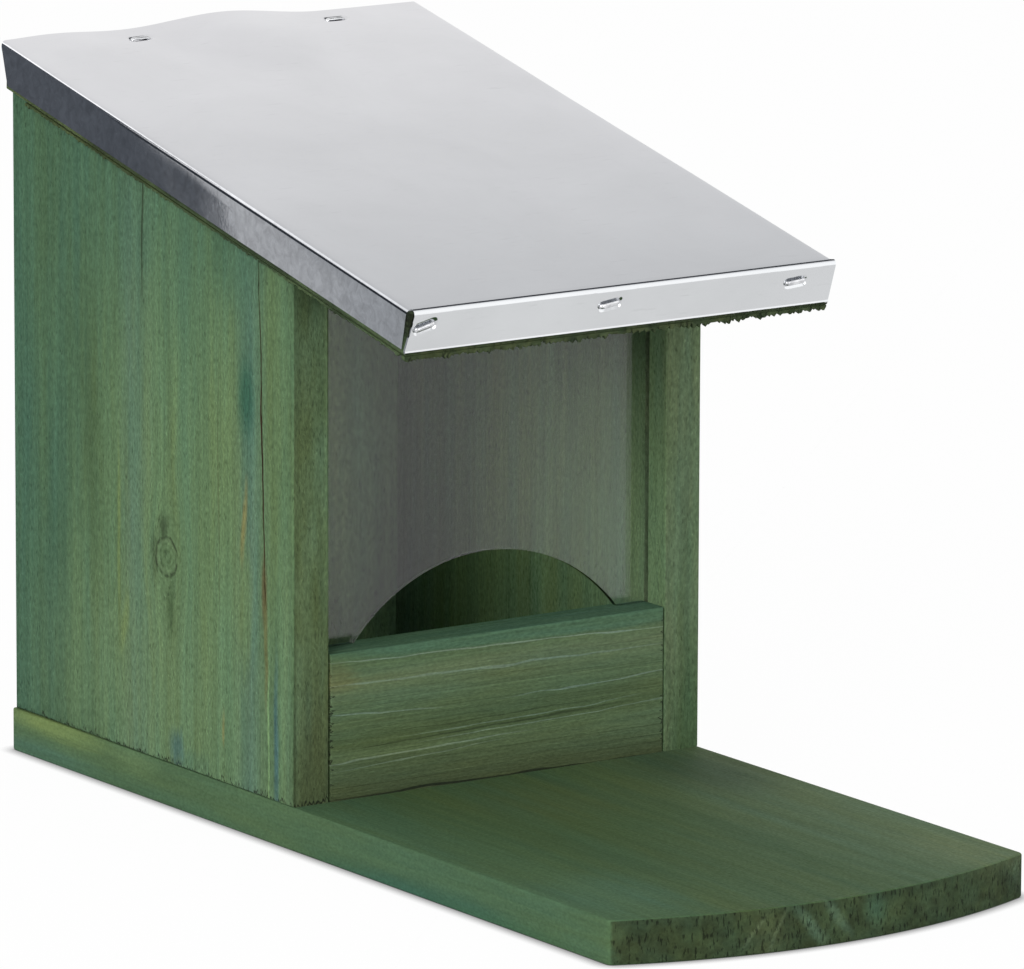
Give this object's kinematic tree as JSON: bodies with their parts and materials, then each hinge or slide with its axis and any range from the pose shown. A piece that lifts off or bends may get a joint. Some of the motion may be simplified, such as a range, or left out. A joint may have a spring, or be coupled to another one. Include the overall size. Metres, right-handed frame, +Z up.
{
  "type": "squirrel feeder box",
  "caption": "Stained softwood box feeder with a long landing board, a clear arched front pane and a sheet-metal covered lid that hinges up at the back.",
  "frame": {"origin": "under the centre of the bounding box, on the surface that the base plate stands on", "axes": "+X to the right when facing the front, the open front with its landing board faces -Y, +Z up"},
  "size_m": [0.124, 0.2808, 0.1833],
  "materials": {
    "stained_base": "green translucent stain on planed softwood, satin",
    "stained_panels": "green translucent stain on planed softwood, satin",
    "stained_front": "green translucent stain on planed softwood, satin",
    "stained_lid": "green translucent stain on sawn softwood",
    "clear_acrylic": "clear polished acrylic sheet",
    "galvanised_sheet": "smooth galvanised sheet, soft sheen",
    "staple_wire": "galvanised wire",
    "hinges": "zinc plated",
    "hinge_pins": "zinc plated",
    "screws": "zinc plated"
  },
  "bodies": {
    "box": {"base_plate": "stained_base", "side_panel_left": "stained_panels", "side_panel_right": "stained_panels", "back_panel": "stained_panels", "front_board": "stained_front", "viewing_pane": "clear_acrylic", "base_screws": "screws", "hinge_left_fixed_leaf": "hinges", "hinge_right_fixed_leaf": "hinges", "hinge_left_pin": "hinge_pins", "hinge_right_pin": "hinge_pins", "hinge_fixed_screws": "screws"},
    "lid": {"lid_board": "stained_lid", "roof_sheet": "galvanised_sheet", "sheet_staples": "staple_wire", "hinge_left_lid_leaf": "hinges", "hinge_right_lid_leaf": "hinges", "hinge_lid_screws": "screws"}
  },
  "joints": [
    {"name": "lid_hinge", "type": "hinge", "parent": "box", "child": "lid", "pos_m": [0, 0.1384, 0.16945], "axis": [-1, 0, 0], "range_deg": [0, 110]}
  ]
}
